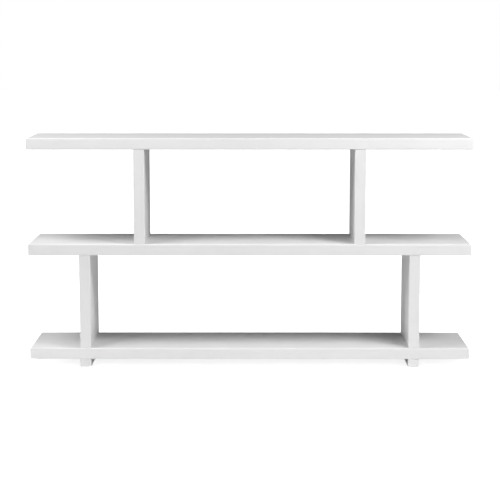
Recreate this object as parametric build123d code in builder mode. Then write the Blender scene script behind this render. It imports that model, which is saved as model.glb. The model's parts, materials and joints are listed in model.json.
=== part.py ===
"""Three-tier console table in white lacquer.

Three equal hollow-core shelves stand on four solid uprights, the upper pair set further in than
the lower pair, and two runner feet lie under the bottom shelf in line with the lower uprights.
Dowels place every upright and foot, cam locks and screws pull the joints tight.

Millimetres. X runs along the table, the front faces -Y, Z is up. The origin is on the floor,
under the middle of the shelves.
"""

import os
from math import sqrt

from build123d import *

os.makedirs("parts", exist_ok=True)

# ---------------------------------------------------------------- driving dimensions

# Shelves
length = 1600
depth = 300
shelf_thickness = 40
upper_clear_height = 342  # between the middle and the top shelf
lower_clear_height = 342  # between the bottom and the middle shelf

# Uprights and feet
upright_thickness = 40
upper_overhang = 383  # shelf end to the outer face of an upper upright
lower_overhang = 183  # shelf end to the outer face of a lower upright or a foot
front_setback = 1  # shelf front to upright front
back_setback = 20  # shelf back to upright back
foot_height = 28

# Edges
arris_radius = 3  # every lacquered edge that stays free
joint_arris_radius = 1  # upright and foot edges that butt against a shelf

# Hollow-core shelf
skin_thickness = 5
rail_width = 30
block_margin = 15  # fixing block beyond each face of the upright that it holds
core_clearance = 2  # honeycomb to rails and blocks
cell_pitch = 32  # between the centres of neighbouring honeycomb cells
cell_wall = 0.8

# Dowels
dowel_diameter = 8
dowel_length = 35
dowel_shelf_depth = 14  # length of an upright's dowel inside the shelf
foot_dowel_length = 30
foot_dowel_gap = 2  # foot dowel's end to the spigot of the glide below it
dowel_chamfer = 1
dowel_inset = 40  # upright edge to the axis of the nearest dowel
hole_end_gap = 0.5  # beyond the end of a dowel, a bolt, a screw or a spigot

# Cam bolts, screwed into the shelves
thread_diameter = 6
thread_length = 11
collar_clearance = 0.2  # collar to the bolt's bore
collar_height = 2
shank_diameter = 5
shank_end_gap = 0.6  # shank end to the cam's bore
neck_diameter = 3.4
head_diameter = 6.4
head_height = 5
bolt_bore_diameter = 8

# Cam locks, let into the outer faces of the uprights
cam_bore_diameter = 15
cam_radial_clearance = 0.1
cam_setback = 34  # upright end to the cam's axis
cam_beyond_centre = 4.5  # bore depth past the upright's middle plane
cam_recess = 0.6  # outer face of the upright to the cam
cam_inset = 70  # upright edge to the cam's axis
lip_setback = 3  # cam's axis to the lip that pulls the bolt head
cam_neck_clearance = 0.3
cam_head_clearance = 0.4
cross_length = 7.2  # driver cross in the cam
cross_width = 1.8
cross_depth = 2.2

# Cover caps over the cams
cap_overlap = 1.5  # cap rim beyond the cam's bore
cap_thickness = 1.2
cap_rounding = 0.6
cap_plug_clearance = 0.1
cap_plug_depth = 1.6  # reach of the plug into the driver cross

# Foot screws, driven up from under the feet
screw_diameter = 4.5
screw_length = 45
screw_head_diameter = 9
screw_head_height = 3.2
screw_clearance = 0.25
screw_head_clearance = 1
counterbore_depth = 8
screw_inset = 90  # foot end to the screw's axis
screw_cross_length = 5
screw_cross_width = 1
screw_cross_depth = 2

# Glides under the feet
glide_diameter = 25
glide_height = 3
glide_rounding = 1
glide_inset = 46  # foot end to the glide's axis
spigot_diameter = 5
spigot_length = 10
tip_chamfer = 0.8  # leading ends of spigots and screws

# ---------------------------------------------------------------- layout

bottom_z = glide_height + foot_height
middle_z = bottom_z + shelf_thickness + lower_clear_height
top_z = middle_z + shelf_thickness + upper_clear_height

upper_x = length / 2 - upper_overhang - upright_thickness / 2
lower_x = length / 2 - lower_overhang - upright_thickness / 2
upper_pair = (-upper_x, upper_x)
lower_pair = (-lower_x, lower_x)

upright_depth = depth - front_setback - back_setback
upright_y = (front_setback - back_setback) / 2

dowel_reach = upright_depth / 2 - dowel_inset
cam_reach = upright_depth / 2 - cam_inset
screw_reach = upright_depth / 2 - screw_inset
glide_reach = upright_depth / 2 - glide_inset
dowel_rows = (upright_y - dowel_reach, upright_y, upright_y + dowel_reach)
foot_dowel_rows = (upright_y - dowel_reach, upright_y + dowel_reach)
cam_rows = (upright_y - cam_reach, upright_y + cam_reach)
screw_rows = (upright_y - screw_reach, upright_y + screw_reach)
glide_rows = (upright_y - glide_reach, upright_y + glide_reach)

foot_dowel_foot_depth = foot_height - spigot_length - foot_dowel_gap
foot_dowel_shelf_depth = foot_dowel_length - foot_dowel_foot_depth
screw_shelf_depth = screw_length - (foot_height - counterbore_depth)

# Each shelf: height of its underside, and the x of the uprights above it and below it
shelves = {
    "bottom_shelf": (bottom_z, lower_pair, ()),
    "middle_shelf": (middle_z, upper_pair, lower_pair),
    "top_shelf": (top_z, (), upper_pair),
}

# Each upright: its x, the height of its lower end and its length
uprights = {
    "lower_left_upright": (-lower_x, bottom_z + shelf_thickness, lower_clear_height),
    "lower_right_upright": (lower_x, bottom_z + shelf_thickness, lower_clear_height),
    "upper_left_upright": (-upper_x, middle_z + shelf_thickness, upper_clear_height),
    "upper_right_upright": (upper_x, middle_z + shelf_thickness, upper_clear_height),
}

feet = {"left_foot": -lower_x, "right_foot": lower_x}

# Each end of an upright: its x, its height and +1 where the upright stands on that face, -1 where
# it hangs below it
upright_ends = []
for x, base_z, clear_height in uprights.values():
    upright_ends.append((x, base_z, 1))
    upright_ends.append((x, base_z + clear_height, -1))


# ---------------------------------------------------------------- helpers


def write(part, name):
    """Labels a finished piece and writes it as its own node."""
    part.label = name
    export_step(part, f"parts/{name}.step")


def upward(points):
    """Planes at the points, with their normal up: a hole made there goes down."""
    return [Plane(origin=point, z_dir=(0, 0, 1)) for point in points]


def downward(points):
    """Planes at the points, with their normal down: a hole made there goes up."""
    return [Plane(origin=point, z_dir=(0, 0, -1)) for point in points]


def grid(xs, ys, z):
    """Every (x, y) pair at one height."""
    return [(x, y, z) for x in xs for y in ys]


def drill_upright_joints(planes_of, xs, z):
    """Holes in a shelf face for the dowels and the cam bolts of the uprights at xs."""
    if not xs:
        return
    with Locations(*planes_of(grid(xs, dowel_rows, z))):
        Hole(dowel_diameter / 2, dowel_shelf_depth + hole_end_gap)
    with Locations(*planes_of(grid(xs, cam_rows, z))):
        Hole(thread_diameter / 2, thread_length + hole_end_gap)


def drill_shelf(shelf):
    """Every hole of one shelf: whichever of its pieces a hole reaches is drilled by it."""
    base_z, pair_above, pair_below = shelves[shelf]
    drill_upright_joints(upward, pair_above, base_z + shelf_thickness)
    drill_upright_joints(downward, pair_below, base_z)
    if shelf == "bottom_shelf":
        with Locations(*downward(grid(lower_pair, foot_dowel_rows, base_z))):
            Hole(dowel_diameter / 2, foot_dowel_shelf_depth + hole_end_gap)
        with Locations(*downward(grid(lower_pair, screw_rows, base_z))):
            Hole(screw_diameter / 2, screw_shelf_depth + hole_end_gap)


# ---------------------------------------------------------------- shelves

core_height = shelf_thickness - 2 * skin_thickness
inner_depth = depth - 2 * rail_width
block_width = upright_thickness + 2 * block_margin

# Skins: full-size boards above and below the frame, rounded along their free edges
for shelf, (base_z, _, _) in shelves.items():
    skins = {
        "top_skin": (base_z + shelf_thickness - skin_thickness, -1),
        "bottom_skin": (base_z, 0),
    }
    for skin_name, (skin_z, outer_group) in skins.items():
        with BuildPart() as skin:
            with BuildSketch(Plane.XY.offset(skin_z)):
                Rectangle(length, depth)
            extrude(amount=skin_thickness)
            corners = skin.edges().filter_by(Axis.Z)
            outer_edges = skin.edges().group_by(Axis.Z)[outer_group]
            fillet(corners + outer_edges, radius=arris_radius)
            drill_shelf(shelf)
        write(skin.part, f"{shelf}_{skin_name}")

# Frame: front and back rails over the whole length, end rails between them
for shelf, (base_z, _, _) in shelves.items():
    frame_plane = Plane.XY.offset(base_z + skin_thickness)

    for rail_name, side in (("front_rail", -1), ("back_rail", 1)):
        with BuildPart() as long_rail:
            with BuildSketch(frame_plane):
                with Locations((0, side * (depth - rail_width) / 2)):
                    Rectangle(length, rail_width)
            extrude(amount=core_height)
            outer_face = long_rail.faces().sort_by(Axis.Y)[0 if side < 0 else -1]
            fillet(outer_face.edges().filter_by(Axis.Z), radius=arris_radius)
            drill_shelf(shelf)
        write(long_rail.part, f"{shelf}_{rail_name}")

    for rail_name, side in (("left_end_rail", -1), ("right_end_rail", 1)):
        with BuildPart() as end_rail:
            with BuildSketch(frame_plane):
                with Locations((side * (length - rail_width) / 2, 0)):
                    Rectangle(rail_width, inner_depth)
            extrude(amount=core_height)
            drill_shelf(shelf)
        write(end_rail.part, f"{shelf}_{rail_name}")

# Fixing blocks: solid wood wherever an upright or a foot meets the shelf
for shelf, (base_z, pair_above, pair_below) in shelves.items():
    with BuildPart() as fixing_blocks:
        with BuildSketch(Plane.XY.offset(base_z + skin_thickness)):
            with Locations(*[(x, 0) for x in pair_above + pair_below]):
                Rectangle(block_width, inner_depth)
        extrude(amount=core_height)
        drill_shelf(shelf)
    write(fixing_blocks.part, f"{shelf}_fixing_blocks")

# Honeycomb cores: one piece of expanded paper in each bay between rails and blocks
core_depth = inner_depth - 2 * core_clearance
apothem = cell_pitch / 2
column_pitch = cell_pitch * sqrt(3) / 2
corner_overhang = cell_pitch / sqrt(3) / 2  # cells reach past their column by this much in all
stagger = cell_pitch / 2  # every second column stands this much further back
for shelf, (base_z, pair_above, pair_below) in shelves.items():
    inner_end = length / 2 - rail_width
    block_centres = sorted(pair_above + pair_below)
    starts = [-inner_end] + [x + block_width / 2 for x in block_centres]
    ends = [x - block_width / 2 for x in block_centres] + [inner_end]

    with BuildPart() as core:
        for start, end in zip(starts, ends):
            core_length = end - start - 2 * core_clearance
            columns = int((core_length - 2 * cell_wall - corner_overhang) / column_pitch)
            rows = int((core_depth - 2 * cell_wall - stagger) / cell_pitch)
            with BuildSketch(Plane.XY.offset(base_z + skin_thickness)):
                with Locations(((start + end) / 2, 0)):
                    Rectangle(core_length, core_depth)
                    with HexLocations(apothem, columns, rows):
                        RegularPolygon(
                            apothem - cell_wall / 2, 6, major_radius=False, mode=Mode.SUBTRACT
                        )
            extrude(amount=core_height)
    write(core.part, f"{shelf}_core")

# ---------------------------------------------------------------- uprights

for name, (x, base_z, clear_height) in uprights.items():
    outward = 1 if x > 0 else -1
    top_end = base_z + clear_height
    cam_axes = [
        Plane(
            origin=(x + outward * upright_thickness / 2, y, z),
            x_dir=(0, 1, 0),
            z_dir=(outward, 0, 0),
        )
        for y in cam_rows
        for z in (base_z + cam_setback, top_end - cam_setback)
    ]
    with BuildPart() as upright:
        with BuildSketch(Plane.XY.offset(base_z)):
            with Locations((x, upright_y)):
                Rectangle(upright_thickness, upright_depth)
        extrude(amount=clear_height)
        fillet(upright.edges().filter_by(Axis.Z), radius=arris_radius)
        end_edges = upright.edges().group_by(Axis.Z)[0] + upright.edges().group_by(Axis.Z)[-1]
        fillet(end_edges, radius=joint_arris_radius)

        for planes_of, z in ((downward, base_z), (upward, top_end)):
            with Locations(*planes_of(grid((x,), dowel_rows, z))):
                Hole(dowel_diameter / 2, dowel_length - dowel_shelf_depth + hole_end_gap)
            with Locations(*planes_of(grid((x,), cam_rows, z))):
                Hole(bolt_bore_diameter / 2, cam_setback)
        with Locations(*cam_axes):
            Hole(cam_bore_diameter / 2, upright_thickness / 2 + cam_beyond_centre)
    write(upright.part, name)

# ---------------------------------------------------------------- feet

for name, x in feet.items():
    with BuildPart() as foot:
        with BuildSketch(Plane.XY.offset(glide_height)):
            with Locations((x, upright_y)):
                Rectangle(upright_thickness, upright_depth)
        extrude(amount=foot_height)
        upper_edges = foot.edges().group_by(Axis.Z)[-1]
        free_edges = foot.edges() - upper_edges
        fillet(free_edges, radius=arris_radius)
        fillet(foot.edges().group_by(Axis.Z)[-1], radius=joint_arris_radius)

        with Locations(*upward(grid((x,), foot_dowel_rows, bottom_z))):
            Hole(dowel_diameter / 2, foot_dowel_foot_depth + hole_end_gap)
        with Locations(*downward(grid((x,), screw_rows, glide_height))):
            CounterBoreHole(
                radius=screw_diameter / 2 + screw_clearance,
                counter_bore_radius=screw_head_diameter / 2 + screw_head_clearance,
                counter_bore_depth=counterbore_depth,
                depth=foot_height,
            )
        with Locations(*downward(grid((x,), glide_rows, glide_height))):
            Hole(spigot_diameter / 2, spigot_length + hole_end_gap)
    write(foot.part, name)

# ---------------------------------------------------------------- dowels


def dowel(total_length):
    """A beech dowel with its lower end at the origin."""
    with BuildPart() as pin:
        Cylinder(
            dowel_diameter / 2, total_length, align=(Align.CENTER, Align.CENTER, Align.MIN)
        )
        chamfer(pin.edges().filter_by(GeomType.CIRCLE), length=dowel_chamfer)
    return pin.part


upright_dowel = dowel(dowel_length)
foot_dowel = dowel(foot_dowel_length)

with BuildPart() as dowels:
    for x, z, side in upright_ends:
        planes_of = upward if side > 0 else downward
        with Locations(*planes_of(grid((x,), dowel_rows, z - side * dowel_shelf_depth))):
            add(upright_dowel)
write(dowels.part, "upright_dowels")

with BuildPart() as foot_dowels:
    with Locations(*downward(grid(lower_pair, foot_dowel_rows, bottom_z + foot_dowel_shelf_depth))):
        add(foot_dowel)
write(foot_dowels.part, "foot_dowels")

# ---------------------------------------------------------------- cam bolts

# Profile from the thread's tip, below the shelf face at z = 0, up to the head in the cam
collar_radius = bolt_bore_diameter / 2 - collar_clearance
shoulder_z = cam_setback - lip_setback
neck_z = cam_setback - cam_bore_diameter / 2 - shank_end_gap

with BuildPart() as cam_bolt:
    with BuildSketch(Plane.XZ):
        with BuildLine():
            Polyline(
                (0, -thread_length),
                (thread_diameter / 2 - tip_chamfer, -thread_length),
                (thread_diameter / 2, -thread_length + 2 * tip_chamfer),
                (thread_diameter / 2, 0),
                (collar_radius, 0),
                (collar_radius, collar_height),
                (shank_diameter / 2, collar_height),
                (shank_diameter / 2, neck_z),
                (neck_diameter / 2, neck_z),
                (neck_diameter / 2, shoulder_z),
                (head_diameter / 2, shoulder_z),
                (head_diameter / 2, shoulder_z + head_height - tip_chamfer),
                (head_diameter / 2 - tip_chamfer, shoulder_z + head_height),
                (0, shoulder_z + head_height),
                close=True,
            )
        make_face()
    revolve(axis=Axis.Z)

with BuildPart() as cam_bolts:
    for x, z, side in upright_ends:
        planes_of = upward if side > 0 else downward
        with Locations(*planes_of(grid((x,), cam_rows, z))):
            add(cam_bolt.part)
write(cam_bolts.part, "cam_bolts")

# ---------------------------------------------------------------- cam locks

# The cam turns about local Z, which points out of the upright, and the bolt comes in along +X
cam_radius = cam_bore_diameter / 2 - cam_radial_clearance
cam_top = upright_thickness / 2 - cam_recess
slot_height = neck_diameter + 2 * cam_neck_clearance

with BuildPart() as cam_lock:
    with BuildSketch(Plane.XY.offset(-cam_beyond_centre)):
        Circle(cam_radius)
    extrude(amount=cam_beyond_centre + cam_top)
    # Pocket for the bolt head, open on the side away from the bolt
    with BuildSketch(Plane.YZ.offset(lip_setback)):
        Circle(head_diameter / 2 + cam_head_clearance)
    extrude(amount=-(lip_setback + cam_bore_diameter / 2), mode=Mode.SUBTRACT)
    # Slot that the neck runs along as the cam turns
    with BuildSketch(Plane.XY.offset(-slot_height / 2)):
        Rectangle(cam_bore_diameter, slot_height)
        Rectangle(cam_bore_diameter, cam_bore_diameter / 2, align=(Align.CENTER, Align.MIN))
    extrude(amount=slot_height, mode=Mode.SUBTRACT)
    # Driver cross in the outer end
    with BuildSketch(Plane.XY.offset(cam_top)):
        Rectangle(cross_length, cross_width)
        Rectangle(cross_width, cross_length)
    extrude(amount=-cross_depth, mode=Mode.SUBTRACT)

cam_places = [
    Plane(
        origin=(x, y, z + side * cam_setback),
        x_dir=(0, 0, -side),
        z_dir=(1 if x > 0 else -1, 0, 0),
    )
    for x, z, side in upright_ends
    for y in cam_rows
]

with BuildPart() as cam_locks:
    with Locations(*cam_places):
        add(cam_lock.part)
write(cam_locks.part, "cam_locks")

# ---------------------------------------------------------------- cover caps

plug_length = cross_length - 2 * cap_plug_clearance
plug_width = cross_width - 2 * cap_plug_clearance

with BuildPart() as cover_cap:
    with BuildSketch(Plane.XY.offset(upright_thickness / 2)):
        Circle(cam_bore_diameter / 2 + cap_overlap)
    extrude(amount=cap_thickness)
    rim = cover_cap.edges().group_by(Axis.Z)[-1]
    fillet(rim, radius=cap_rounding)
    with BuildSketch(Plane.XY.offset(upright_thickness / 2)):
        Rectangle(plug_length, plug_width)
        Rectangle(plug_width, plug_length)
    extrude(amount=-(cam_recess + cap_plug_depth))

with BuildPart() as cover_caps:
    with Locations(*cam_places):
        add(cover_cap.part)
write(cover_caps.part, "cam_cover_caps")

# ---------------------------------------------------------------- foot screws

# Head underside at z = 0, shank up
with BuildPart() as foot_screw:
    with BuildSketch(Plane.XZ):
        with BuildLine():
            Polyline(
                (0, -screw_head_height),
                (screw_head_diameter / 2 - tip_chamfer, -screw_head_height),
                (screw_head_diameter / 2, -screw_head_height + tip_chamfer),
                (screw_head_diameter / 2, 0),
                (screw_diameter / 2, 0),
                (screw_diameter / 2, screw_length - screw_diameter),
                (0, screw_length),
                close=True,
            )
        make_face()
    revolve(axis=Axis.Z)
    with BuildSketch(Plane.XY.offset(-screw_head_height)):
        Rectangle(screw_cross_length, screw_cross_width)
        Rectangle(screw_cross_width, screw_cross_length)
    extrude(amount=screw_cross_depth, mode=Mode.SUBTRACT)

with BuildPart() as foot_screws:
    with Locations(*upward(grid(lower_pair, screw_rows, glide_height + counterbore_depth))):
        add(foot_screw.part)
write(foot_screws.part, "foot_screws")

# ---------------------------------------------------------------- glides

with BuildPart() as glide:
    with BuildSketch(Plane.XY):
        Circle(glide_diameter / 2)
    extrude(amount=glide_height)
    fillet(glide.edges().group_by(Axis.Z)[0], radius=glide_rounding)
    with BuildSketch(Plane.XY.offset(glide_height)):
        Circle(spigot_diameter / 2)
    extrude(amount=spigot_length)
    chamfer(glide.edges().group_by(Axis.Z)[-1], length=tip_chamfer)

with BuildPart() as glides:
    with Locations(*upward(grid(lower_pair, glide_rows, 0))):
        add(glide.part)
write(glides.part, "glides")
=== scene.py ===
"""Looks, light and camera for the white three-tier console table.

Metres, in the CAD frame: X along the table, the front faces -Y, Z up, the floor at z = 0.
"""

import json
import math

import bpy
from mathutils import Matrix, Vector


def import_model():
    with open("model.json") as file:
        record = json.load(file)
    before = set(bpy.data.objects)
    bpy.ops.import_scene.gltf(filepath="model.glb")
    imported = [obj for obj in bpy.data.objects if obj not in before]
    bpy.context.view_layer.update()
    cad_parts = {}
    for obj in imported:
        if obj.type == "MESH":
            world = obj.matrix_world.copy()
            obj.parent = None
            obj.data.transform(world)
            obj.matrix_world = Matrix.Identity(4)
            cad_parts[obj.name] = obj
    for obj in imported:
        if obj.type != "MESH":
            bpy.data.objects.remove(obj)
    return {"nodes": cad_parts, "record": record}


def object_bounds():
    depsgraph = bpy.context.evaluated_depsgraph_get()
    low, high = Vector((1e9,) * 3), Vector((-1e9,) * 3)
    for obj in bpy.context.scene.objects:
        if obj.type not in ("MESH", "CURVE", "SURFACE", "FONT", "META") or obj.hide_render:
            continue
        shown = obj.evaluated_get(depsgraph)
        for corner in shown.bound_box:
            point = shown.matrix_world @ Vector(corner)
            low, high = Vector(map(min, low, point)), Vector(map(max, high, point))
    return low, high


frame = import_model()
cad_low, cad_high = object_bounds()
scene = bpy.context.scene


# ---------------------------------------------------------------- node helpers


class Shader:
    """A material's node tree, written as short calls."""

    def __init__(self, name):
        self.material = bpy.data.materials.new(name)
        self.material.use_nodes = True
        self.tree = self.material.node_tree
        self.bsdf = self.tree.nodes["Principled BSDF"]
        self.place = self.add("ShaderNodeTexCoord").outputs["Object"]

    def give(self, socket, value):
        """Links a socket, or sets a plain value."""
        if isinstance(value, bpy.types.NodeSocket):
            self.tree.links.new(value, socket)
        else:
            socket.default_value = value

    def add(self, kind, **inputs):
        """A new node, with its inputs by name: From_Min stands for "From Min"."""
        node = self.tree.nodes.new(kind)
        for key, value in inputs.items():
            self.give(node.inputs[key.replace("_", " ")], value)
        return node

    def set(self, **inputs):
        """Inputs of the Principled shader."""
        for key, value in inputs.items():
            self.give(self.bsdf.inputs[key.replace("_", " ")], value)

    def stretched(self, x, y, z):
        """Object coordinates with each axis multiplied, for patterns that run one way."""
        return self.add("ShaderNodeMapping", Vector=self.place, Scale=(x, y, z)).outputs["Vector"]

    def noise(self, per_metre, detail=2.0, roughness=0.5, distortion=0.0, along=None):
        """Noise around 0.5, with about per_metre features to the metre."""
        node = self.add(
            "ShaderNodeTexNoise",
            Vector=along or self.place,
            Scale=per_metre,
            Detail=detail,
            Roughness=roughness,
            Distortion=distortion,
        )
        return node.outputs["Fac"]

    def remap(self, value, low, high, start=0.3, end=0.7):
        """Spreads value from start..end to low..high, and stops at both ends."""
        node = self.add(
            "ShaderNodeMapRange", Value=value, From_Min=start, From_Max=end, To_Min=low, To_Max=high
        )
        return node.outputs["Result"]

    def blend(self, factor, first, second):
        """A colour between first, at factor 0, and second, at factor 1."""
        node = self.tree.nodes.new("ShaderNodeMix")
        node.data_type = "RGBA"
        colour_inputs = [socket for socket in node.inputs if socket.type == "RGBA"]
        self.give(node.inputs["Factor"], factor)
        self.give(colour_inputs[0], first)
        self.give(colour_inputs[1], second)
        return next(socket for socket in node.outputs if socket.type == "RGBA")

    def bump(self, height, depth, below=None):
        """A bump `depth` metres high, laid over an earlier one if given."""
        node = self.add("ShaderNodeBump", Height=height, Distance=depth)
        if below is not None:
            self.give(node.inputs["Normal"], below)
        return node.outputs["Normal"]


def grey(level):
    return (level, level, level, 1.0)


def colour(red, green, blue):
    return (red, green, blue, 1.0)


# ---------------------------------------------------------------- materials


def white_lacquer():
    """Sprayed satin lacquer: slow unevenness of the coat, faint orange peel, a soft sheen."""
    paint = Shader("white_lacquer")
    coat = paint.noise(3.5, detail=3.0)
    speckle = paint.noise(420.0, detail=2.0)
    tone = paint.blend(paint.remap(coat, 0.0, 1.0), grey(0.752), grey(0.776))
    tone = paint.blend(paint.remap(speckle, 0.0, 0.3), tone, grey(0.74))
    rolling = paint.bump(paint.noise(34.0, detail=1.0), 0.00010)
    peel = paint.bump(paint.noise(520.0, detail=1.0), 0.000014, below=rolling)
    paint.set(
        Base_Color=tone,
        Roughness=paint.remap(paint.noise(160.0), 0.36, 0.44),
        Normal=peel,
        Coat_Weight=0.15,
        Coat_Roughness=0.28,
    )
    return paint.material


def softwood():
    """Sawn spruce, with its grain along Y: growth lines, fine fibres, a rough sawn face."""
    wood = Shader("softwood")
    rings = wood.noise(1.0, detail=3.0, distortion=0.6, along=wood.stretched(150.0, 5.0, 150.0))
    fibres = wood.noise(1.0, detail=3.0, along=wood.stretched(900.0, 18.0, 900.0))
    pale = wood.blend(wood.remap(fibres, 0.0, 1.0), colour(0.70, 0.50, 0.29), colour(0.78, 0.60, 0.38))
    grain = wood.blend(wood.remap(rings, 0.0, 0.85, 0.48, 0.62), pale, colour(0.50, 0.30, 0.14))
    wood.set(
        Base_Color=grain,
        Roughness=wood.remap(fibres, 0.68, 0.85),
        Normal=wood.bump(fibres, 0.00012, below=wood.bump(rings, 0.00008)),
        Specular_IOR_Level=0.3,
    )
    return wood.material


def core_paper():
    """Brown recycled paper: cloudy tone with darker and paler fibres."""
    paper = Shader("core_paper")
    clouds = paper.noise(70.0, detail=3.0)
    fibres = paper.noise(1400.0, detail=3.0, roughness=0.7, distortion=1.2)
    base = paper.blend(paper.remap(clouds, 0.0, 1.0), colour(0.42, 0.29, 0.17), colour(0.52, 0.38, 0.23))
    paper.set(
        Base_Color=paper.blend(paper.remap(fibres, 0.0, 0.6, 0.5, 0.7), base, colour(0.66, 0.52, 0.36)),
        Roughness=paper.remap(fibres, 0.82, 0.95),
        Normal=paper.bump(fibres, 0.00005),
        Specular_IOR_Level=0.2,
    )
    return paper.material


def beech():
    """Dowel rod, with its grain along Z: fine lines and the short dark flecks of beech."""
    wood = Shader("beech")
    lines = wood.noise(1.0, detail=3.0, along=wood.stretched(800.0, 800.0, 25.0))
    flecks = wood.noise(1.0, detail=1.0, along=wood.stretched(1500.0, 1500.0, 350.0))
    body = wood.blend(wood.remap(lines, 0.0, 1.0), colour(0.62, 0.41, 0.25), colour(0.72, 0.51, 0.34))
    wood.set(
        Base_Color=wood.blend(wood.remap(flecks, 0.0, 0.7, 0.6, 0.7), body, colour(0.40, 0.22, 0.12)),
        Roughness=wood.remap(lines, 0.5, 0.66),
        Normal=wood.bump(lines, 0.00004),
        Specular_IOR_Level=0.4,
    )
    return wood.material


def zinc_steel():
    """Bright zinc plating on turned steel: fine rings along Z and a cloudy bluish film."""
    metal = Shader("zinc_steel")
    film = metal.noise(140.0, detail=3.0)
    rings = metal.noise(1.0, detail=2.0, along=metal.stretched(30.0, 30.0, 5000.0))
    metal.set(
        Base_Color=metal.blend(
            metal.remap(film, 0.0, 1.0), colour(0.66, 0.68, 0.71), colour(0.76, 0.75, 0.72)
        ),
        Metallic=1.0,
        Roughness=metal.remap(film, 0.22, 0.38),
        Normal=metal.bump(rings, 0.000006),
    )
    return metal.material


def zinc_alloy():
    """Raw die-cast zinc: a dull grey, grainy skin with brighter rubbed spots."""
    metal = Shader("zinc_alloy")
    grain = metal.noise(2600.0, detail=3.0)
    rubbed = metal.noise(300.0, detail=2.0)
    metal.set(
        Base_Color=metal.blend(metal.remap(rubbed, 0.0, 1.0, 0.5, 0.7), grey(0.48), grey(0.62)),
        Metallic=1.0,
        Roughness=metal.remap(rubbed, 0.55, 0.38),
        Normal=metal.bump(grain, 0.00002),
    )
    return metal.material


def cap_plastic():
    """Moulded caps in the lacquer's white, a little warmer, with a fine eroded grain."""
    plastic = Shader("cap_plastic")
    flow = plastic.noise(90.0, detail=2.0)
    plastic.set(
        Base_Color=plastic.blend(
            plastic.remap(flow, 0.0, 1.0), colour(0.78, 0.778, 0.765), colour(0.815, 0.812, 0.80)
        ),
        Roughness=plastic.remap(flow, 0.40, 0.50),
        Normal=plastic.bump(plastic.noise(3200.0, detail=2.0), 0.000012),
    )
    return plastic.material


def glide_plastic():
    """Milky polyethylene with faint scuffs from the floor."""
    plastic = Shader("glide_plastic")
    body = plastic.noise(120.0, detail=2.0)
    scuffs = plastic.noise(1.0, detail=3.0, distortion=0.8, along=plastic.stretched(1200.0, 220.0, 400.0))
    milky = plastic.blend(
        plastic.remap(body, 0.0, 1.0), colour(0.71, 0.71, 0.69), colour(0.77, 0.77, 0.75)
    )
    plastic.set(
        Base_Color=plastic.blend(plastic.remap(scuffs, 0.0, 0.5, 0.55, 0.7), milky, grey(0.60)),
        Roughness=plastic.remap(scuffs, 0.42, 0.62),
        Normal=plastic.bump(scuffs, 0.00002),
    )
    return plastic.material


FINISHES = (
    white_lacquer,
    softwood,
    core_paper,
    beech,
    zinc_steel,
    zinc_alloy,
    cap_plastic,
    glide_plastic,
)


def dress():
    """Every CAD node takes the material that is named after its record slot."""
    finished = {finish.__name__: finish() for finish in FINISHES}
    slot_of = {part["node"]: part["material_slot"] for part in frame["record"]["subparts"]}
    for node, piece in frame["nodes"].items():
        for slot in piece.material_slots:
            slot.material = finished[slot_of[node]]


dress()


# ---------------------------------------------------------------- stage

FLOOR_SIZE = 60.0
FLOOR_REFLECTANCE = 0.9
TOOTH_CONTRAST = 0.01  # how far the paper's tooth goes above and below that reflectance
SHEET_GLOW = 0.78  # own light of the sheet that the camera sees, so that it stays white far away
SHEET_GAP = 0.002  # sheet to the floor below it


def floor_plane(name, height, glow):
    """A wide plane of seamless paper, part of the studio and not of the object."""
    bpy.ops.mesh.primitive_plane_add(size=FLOOR_SIZE, location=(0.0, 0.0, height))
    plane = bpy.context.object
    plane.name = name
    paper = Shader(name)
    tooth = paper.noise(900.0)
    paper.set(
        Base_Color=paper.blend(
            paper.remap(tooth, 0.0, 1.0),
            grey(FLOOR_REFLECTANCE - TOOTH_CONTRAST),
            grey(FLOOR_REFLECTANCE + TOOTH_CONTRAST),
        ),
        Roughness=0.9,
        Specular_IOR_Level=0.1,
        Normal=paper.bump(tooth, 0.00003),
        Emission_Color=grey(1.0),
        Emission_Strength=glow,
    )
    plane.data.materials.append(paper.material)
    return plane


def floor():
    """A pale floor in two layers: one lights the table from below, the other is what shows."""
    bounce = floor_plane("studio_floor", -SHEET_GAP, 0.0)
    bounce.visible_camera = False
    sheet = floor_plane("studio_sheet", 0.0, SHEET_GLOW)
    sheet.visible_diffuse = False
    sheet.visible_glossy = False
    sheet.visible_shadow = False
    return sheet


sheet = floor()


# ---------------------------------------------------------------- light

AMBIENT = 0.015  # light from all round
MAIN_BOX = 1.2  # side of each softbox above the front
SIDE_BOX = 0.5
SUN_SOFTNESS = 25.0  # degrees across
LEFT_HALF = (-0.5, 0.0, 0.6)
RIGHT_HALF = (0.5, 0.0, 0.6)
LEFT_ENDS = (-0.7, 0.0, 0.25)  # between the left ends of the bottom and the middle shelf


def hang(name, light, place, to_lamp):
    """A lamp at place, hidden from the camera. `to_lamp` points back from what it lights."""
    lamp = bpy.data.objects.new(name, light)
    lamp.location = place
    lamp.rotation_mode = "QUATERNION"
    lamp.rotation_quaternion = to_lamp.to_track_quat("Z", "Y")
    lamp.visible_camera = False
    scene.collection.objects.link(lamp)
    return lamp


def softbox(name, place, target, side, strength):
    """A square lamp. A white sheet at the target, facing it, comes out at about `strength`."""
    place, target = Vector(place), Vector(target)
    light = bpy.data.lights.new(name, "AREA")
    light.shape = "SQUARE"
    light.size = side
    light.energy = strength * (math.pi * (place - target).length) ** 2
    lamp = hang(name, light, place, place - target)
    lamp.visible_glossy = False  # its glare would burn out the shelf tops seen from behind


def sun(name, azimuth, elevation, strength, softness=SUN_SOFTNESS):
    """A soft light from afar. Azimuth 0 stands in front of the table and 90 on its right."""
    light = bpy.data.lights.new(name, "SUN")
    light.energy = math.pi * strength
    light.angle = math.radians(softness)
    around, up = math.radians(azimuth), math.radians(elevation)
    to_lamp = Vector(
        (math.sin(around) * math.cos(up), -math.cos(around) * math.cos(up), math.sin(up))
    )
    return hang(name, light, (0.0, 0.0, 0.0), to_lamp)


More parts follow.
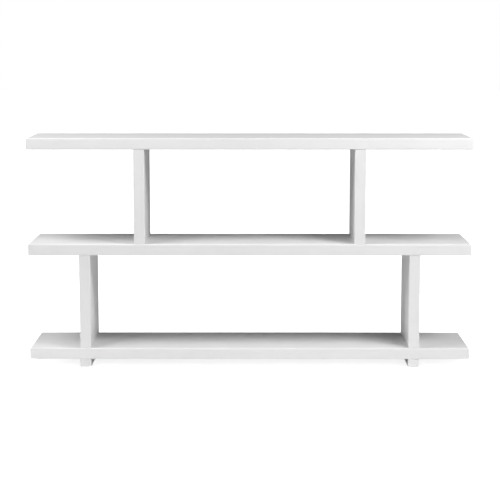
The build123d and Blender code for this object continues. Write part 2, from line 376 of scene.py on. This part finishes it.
def world():
    """Faint light from all round. The camera sees it as a white backdrop."""
    studio = bpy.data.worlds.new("studio")
    studio.use_nodes = True
    nodes, links = studio.node_tree.nodes, studio.node_tree.links
    air = nodes["Background"]
    air.inputs["Strength"].default_value = AMBIENT
    air.inputs["Color"].default_value = grey(1.0)
    backdrop = nodes.new("ShaderNodeBackground")
    backdrop.inputs["Color"].default_value = grey(1.0)
    seen = nodes.new("ShaderNodeMixShader")
    links.new(nodes.new("ShaderNodeLightPath").outputs["Is Camera Ray"], seen.inputs[0])
    links.new(air.outputs[0], seen.inputs[1])
    links.new(backdrop.outputs[0], seen.inputs[2])
    links.new(seen.outputs[0], nodes["World Output"].inputs["Surface"])
    scene.world = studio


def wash(strength):
    """Light from straight above for the visible sheet alone: an even white with a faint shadow."""
    lit = bpy.data.collections.new("lit_by_wash")
    lit.objects.link(sheet)
    overhead = sun("wash", 0.0, 90.0, strength, softness=60.0)
    overhead.light_linking.receiver_collection = lit


softbox("left_softbox", (-1.6, -0.8, 2.4), LEFT_HALF, MAIN_BOX, 1.02)
softbox("right_softbox", (1.6, -1.25, 2.4), RIGHT_HALF, MAIN_BOX, 1.10)
softbox("side_softbox", (-2.0, 0.25, 0.75), LEFT_ENDS, SIDE_BOX, 0.3)  # lower than the top shelf
sun("high_fill", 20.0, 60.0, 0.09)
sun("front_fill", 0.0, 6.0, 0.03)
back_fill = sun("back_fill", 180.0, 3.0, 0.6, softness=8.0)
back_fill.visible_glossy = False  # it would glare off the shelves towards the front
wash(0.35)
world()


# ---------------------------------------------------------------- camera

CAMERA_DISTANCE = 5.195  # in front of the shelves' front edge
CAMERA_HEIGHT = 1.1726
CAMERA_SIDE = 0.0136
CAMERA_PITCH = 8.104  # degrees below the horizontal
CAMERA_TURN = 0.133
LENS = 104.8  # on a 36 mm sensor

lens = bpy.data.cameras.new("camera")
lens.sensor_width = 36.0
lens.lens = LENS
lens.clip_end = 100.0
camera = bpy.data.objects.new("camera", lens)
camera.location = (CAMERA_SIDE, cad_low.y - CAMERA_DISTANCE, CAMERA_HEIGHT)
camera.rotation_euler = (math.radians(90.0 - CAMERA_PITCH), 0.0, math.radians(CAMERA_TURN))
scene.collection.objects.link(camera)
scene.camera = camera

scene.view_settings.view_transform = "Standard"
